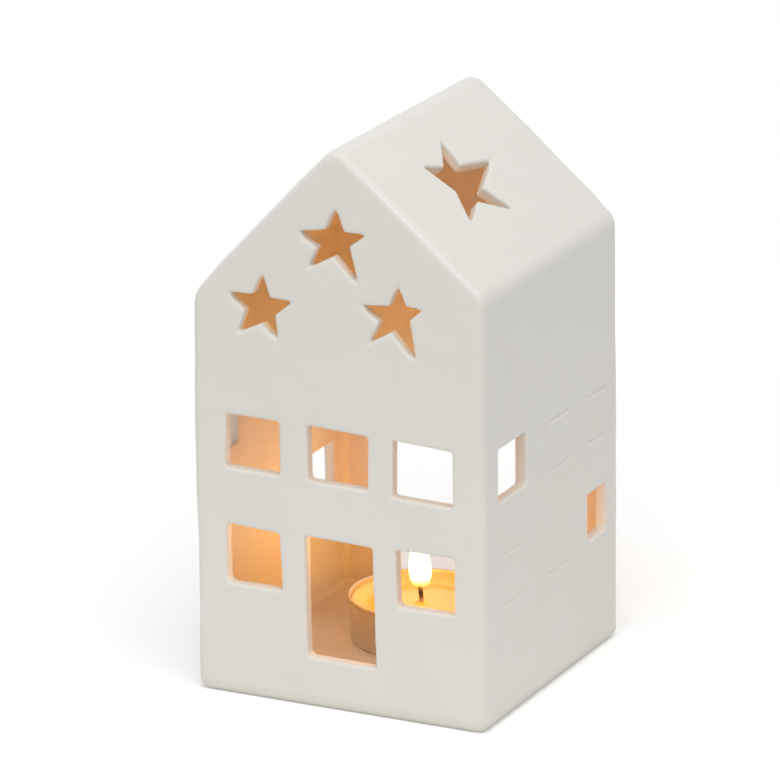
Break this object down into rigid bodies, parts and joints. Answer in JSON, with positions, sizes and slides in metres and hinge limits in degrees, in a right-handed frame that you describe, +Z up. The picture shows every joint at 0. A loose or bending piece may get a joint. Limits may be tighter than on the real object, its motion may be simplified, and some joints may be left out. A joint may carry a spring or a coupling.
{
  "type": "tealight house",
  "caption": "White ceramic tealight house: hollow gabled body with windows, door and stars cut through its walls, lit by a tealight that slides in through an arch in the back.",
  "frame": {"origin": "middle of the underside, which stands on the table", "axes": "+Z up to the ridge, -Y out through the front wall with the door, +Y out through the access arch, +X to the right seen from the front; the ridge runs along Y"},
  "size_m": [0.08, 0.079, 0.1441],
  "materials": {
    "house": "matte, unglazed look, softened edges",
    "cup": "thin drawn sheet, satin",
    "wax": "paraffin wax, waxy and slightly translucent",
    "holder": "thin tinned sheet",
    "wick": "charred braided cotton"
  },
  "bodies": {
    "house": {"house_shell": "house"},
    "tealight": {"tealight_cup": "cup"},
    "candle": {"wax_fill": "wax", "wick_holder": "holder", "wick": "wick"}
  },
  "joints": [
    {"name": "tealight_slide", "type": "slide", "parent": "house", "child": "tealight", "axis": [0, 1, 0], "range_m": [-0.02, 0.055]},
    {"name": "candle_lift", "type": "slide", "parent": "tealight", "child": "candle", "axis": [0, 0, 1], "range_m": [0, 0.014]}
  ]
}
